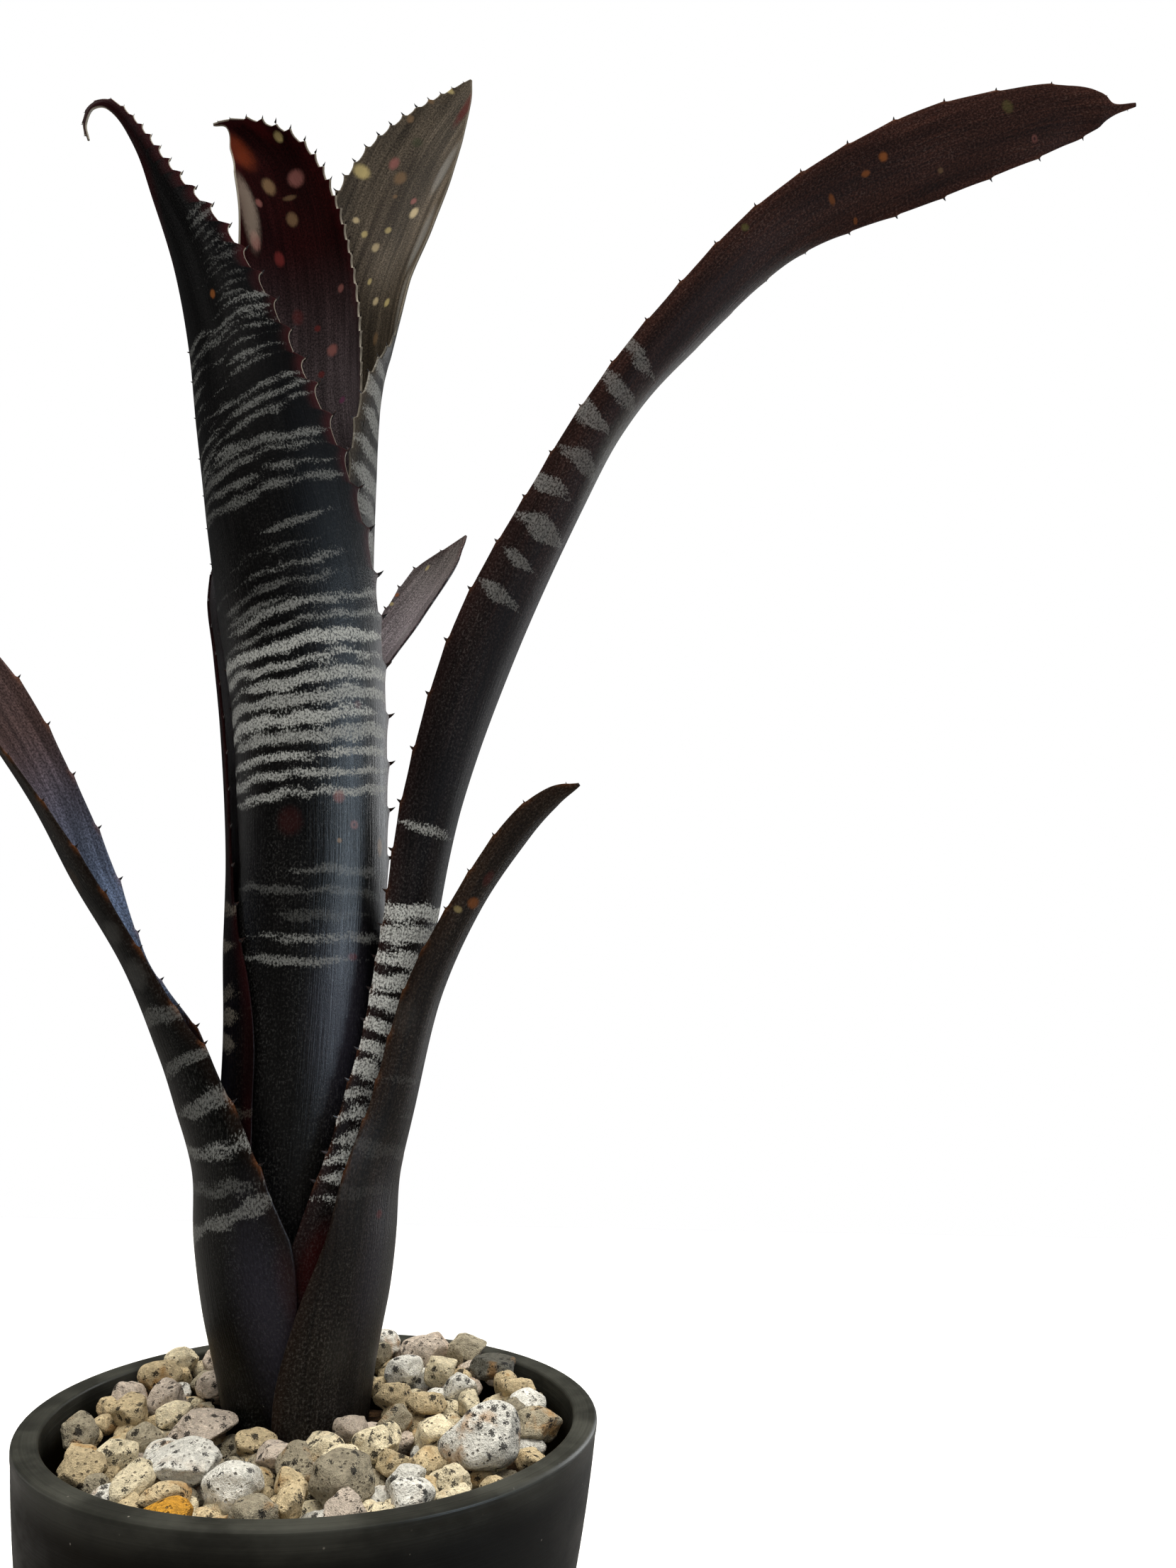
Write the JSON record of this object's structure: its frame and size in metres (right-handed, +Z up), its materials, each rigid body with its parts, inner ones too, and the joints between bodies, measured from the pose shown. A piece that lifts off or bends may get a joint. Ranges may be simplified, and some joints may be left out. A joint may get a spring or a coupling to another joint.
{
  "type": "potted bromeliad",
  "caption": "Upright tubular bromeliad with tall and arching spine-edged leaves, in a round tapered pot topped with pumice stones, to stand on a shelf or table.",
  "frame": {"origin": "centre of the pot's flat underside", "axes": "+Z up along the pot's axis, +X to the right and +Y away from the front of the plant"},
  "size_m": [0.3438, 0.13, 0.5018],
  "materials": {
    "pot": "charcoal, satin, finely scuffed",
    "potting_mix": "dark, crumbly peat and bark",
    "pumice": "rough, porous, cream to grey",
    "stem": "pale, fibrous",
    "leaf": "stiff, dark maroon with silver cross-bands, satin"
  },
  "bodies": {
    "root": {"pot": "pot", "potting_mix": "potting_mix", "pumice_topdressing": "pumice", "stem": "stem", "leaf_tube_inner": "leaf", "leaf_tube_back": "leaf", "leaf_tube_front": "leaf", "leaf_back_left": "leaf", "leaf_back_right": "leaf", "leaf_arching_right": "leaf", "leaf_arching_left": "leaf", "leaf_short_right": "leaf"}
  },
  "joints": []
}
